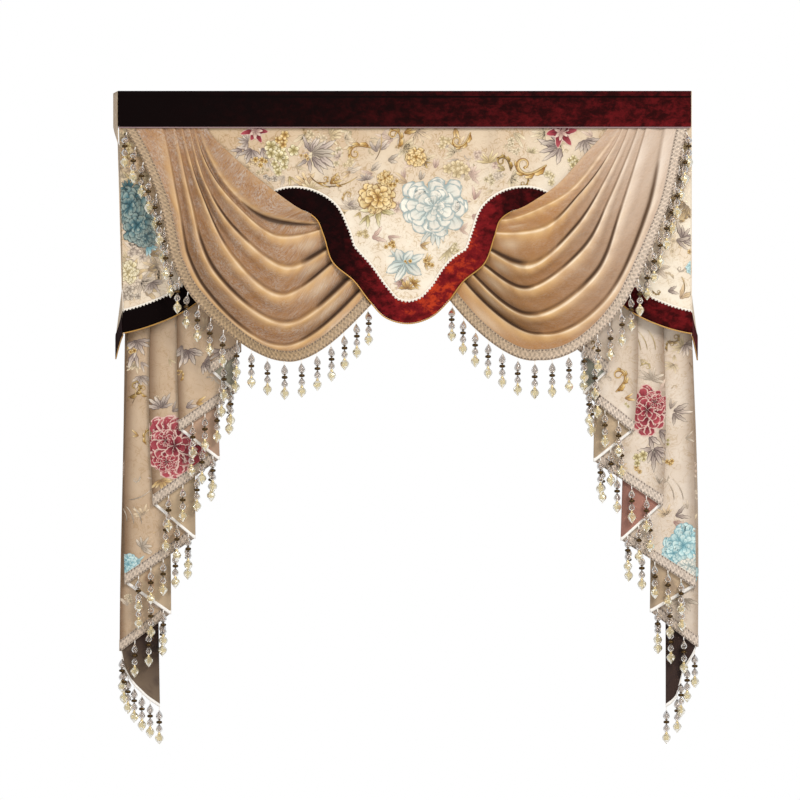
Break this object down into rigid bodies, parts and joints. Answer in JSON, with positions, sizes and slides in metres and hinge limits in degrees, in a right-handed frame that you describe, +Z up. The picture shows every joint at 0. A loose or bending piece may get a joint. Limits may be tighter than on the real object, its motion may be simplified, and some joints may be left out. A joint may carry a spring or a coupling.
{
  "type": "pelmet valance",
  "caption": "Window pelmet valance with a shaped floral front panel, two gathered velvet swags, pleated side tails and bead fringes, hung by its top heading.",
  "frame": {"origin": "middle of the heading's top edge, in the plane of the front panel", "axes": "+Z up, +Y from the front face towards the wall, +X to the right as seen from the front"},
  "size_m": [1.5425, 0.1736, 1.7099],
  "materials": {
    "burgundy_velvet": "crushed velvet",
    "mauve_welt": "satin",
    "floral_jacquard": "woven floral pattern on a cream ground",
    "tan_velvet": "brushed velvet",
    "gold_piping": "satin cord",
    "ivory_gimp": "scalloped braid",
    "bead_fringe": "clear and champagne beads on a woven braid"
  },
  "bodies": {
    "root": {"header_band": "burgundy_velvet", "header_piping": "mauve_welt", "panel": "floral_jacquard", "border": "burgundy_velvet", "gimp": "ivory_gimp", "border_piping": "gold_piping", "return_left": "floral_jacquard", "return_right": "floral_jacquard", "return_border_left": "burgundy_velvet", "return_border_right": "burgundy_velvet", "return_piping_left": "gold_piping", "return_piping_right": "gold_piping", "swag_left": "tan_velvet", "swag_right": "tan_velvet", "swag_fringe_left": "bead_fringe", "swag_fringe_right": "bead_fringe", "tail_left": "floral_jacquard", "tail_right": "floral_jacquard", "tail_fringe_left": "bead_fringe", "tail_fringe_right": "bead_fringe"}
  },
  "joints": []
}
